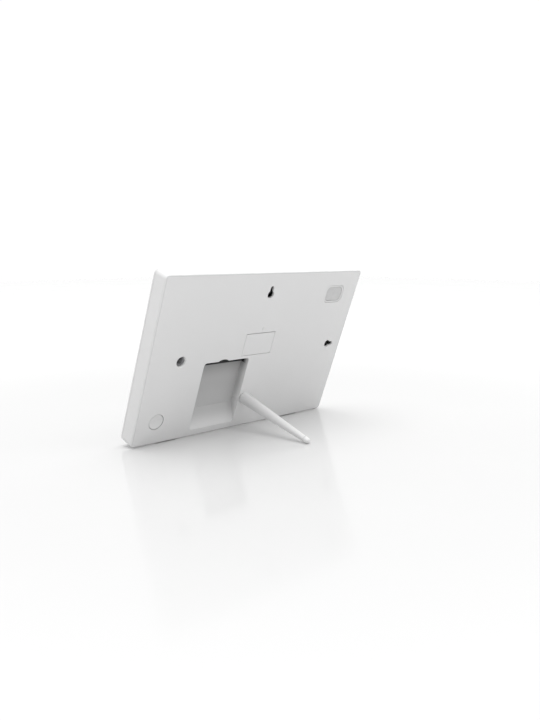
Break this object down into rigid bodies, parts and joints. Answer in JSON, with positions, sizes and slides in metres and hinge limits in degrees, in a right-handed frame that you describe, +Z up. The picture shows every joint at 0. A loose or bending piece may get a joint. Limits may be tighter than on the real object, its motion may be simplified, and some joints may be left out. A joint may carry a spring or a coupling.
{
  "type": "digital photo frame",
  "caption": "Digital photo frame in a slim white casing, leaning back on a screw-in round leg, with a plug bay, keyholes and keys on its back.",
  "frame": {"origin": "on the table, at the middle of the outline of the frame as it leans on its leg", "axes": "+X is the width, to the right seen from the front; the screen faces -Y and a little up; the leg reaches towards +Y; +Z is up"},
  "size_m": [0.26, 0.1195, 0.1654],
  "materials": {
    "white_casing": "fine satin texture, moulded",
    "white_leg": "smooth satin",
    "white_key": "fine satin texture",
    "pale_rubber": "matt elastomer",
    "grey_rubber": "matt elastomer",
    "dark_rubber": "matt elastomer",
    "cover_glass": "polished cover glass over a dark display",
    "black_tape": "foam tape",
    "display_panel": "dark display, switched off",
    "diffuser_film": "milky film",
    "clear_acrylic": "clear light guide",
    "tray_steel": "folded sheet steel",
    "board_green": "printed circuit board with solder mask",
    "chip_black": "moulded package",
    "tin_plate": "tin plate",
    "zinc_steel": "zinc plated steel",
    "amber_film": "flexible printed film",
    "black_plastic": "moulded plastic"
  },
  "bodies": {
    "frame": {"rear_cover": "white_casing", "front_bezel": "white_casing", "touch_glass": "cover_glass", "glass_tape": "black_tape", "display_panel": "display_panel", "diffuser_sheet": "diffuser_film", "light_guide": "clear_acrylic", "led_strip": "board_green", "backlight_tray": "tray_steel", "tray_screw_1": "zinc_steel", "tray_screw_2": "zinc_steel", "tray_screw_3": "zinc_steel", "tray_screw_4": "zinc_steel", "main_board": "board_green", "board_screw_1": "zinc_steel", "board_screw_2": "zinc_steel", "board_screw_3": "zinc_steel", "processor_shield": "tin_plate", "memory_chip": "chip_black", "wifi_module": "tin_plate", "dc_jack": "black_plastic", "usb_socket": "tin_plate", "card_socket": "tin_plate", "display_flex": "amber_film", "speaker": "black_plastic", "keyhole_plate_landscape": "zinc_steel", "keyhole_plate_portrait": "zinc_steel", "stand_insert_landscape": "zinc_steel", "stand_insert_portrait": "zinc_steel", "menu_switch_board": "board_green", "menu_switch": "black_plastic", "power_switch_board": "board_green", "power_switch": "black_plastic", "cell_base_contact": "zinc_steel", "coin_cell": "zinc_steel", "cell_side_contact": "zinc_steel", "door_hinge_pin": "zinc_steel", "foot_left": "grey_rubber", "foot_right": "grey_rubber"},
    "stand_washer": {"stand_washer": "dark_rubber"},
    "stand_leg": {"stand_leg": "white_leg", "stand_stud": "zinc_steel", "stand_tip": "pale_rubber"},
    "battery_door": {"battery_door": "white_casing"},
    "menu_key": {"menu_key": "white_key", "menu_key_pad": "pale_rubber", "menu_plunger": "grey_rubber"},
    "power_button": {"power_button": "white_key", "power_plunger": "grey_rubber"}
  },
  "joints": [
    {"name": "leg_travel", "type": "slide", "parent": "frame", "child": "stand_washer", "axis": [0, 0.9494, -0.314], "range_m": [0, 0.005]},
    {"name": "leg_turn", "type": "hinge", "parent": "stand_washer", "child": "stand_leg", "pos_m": [0, -0.03144, 0.0321], "axis": [0, 0.9494, -0.314], "range_deg": [0, 1800]},
    {"name": "door_swing", "type": "hinge", "parent": "frame", "child": "battery_door", "pos_m": [-0.0014, -0.01455, 0.08072], "axis": [-1, 0, 0], "range_deg": [0, 90]},
    {"name": "menu_key_press", "type": "slide", "parent": "frame", "child": "menu_key", "axis": [0, -0.9361, 0.3518], "range_m": [0, 0.0006], "stiffness_N_per_m": 600, "springref_m": -0.0008},
    {"name": "power_button_press", "type": "slide", "parent": "frame", "child": "power_button", "axis": [0, -0.9361, 0.3518], "range_m": [0, 0.0006], "stiffness_N_per_m": 600, "springref_m": -0.0008}
  ],
  "couplings": [
    {"joint": "leg_turn", "follows": "leg_travel", "rad_per_m": 6283.2}
  ]
}
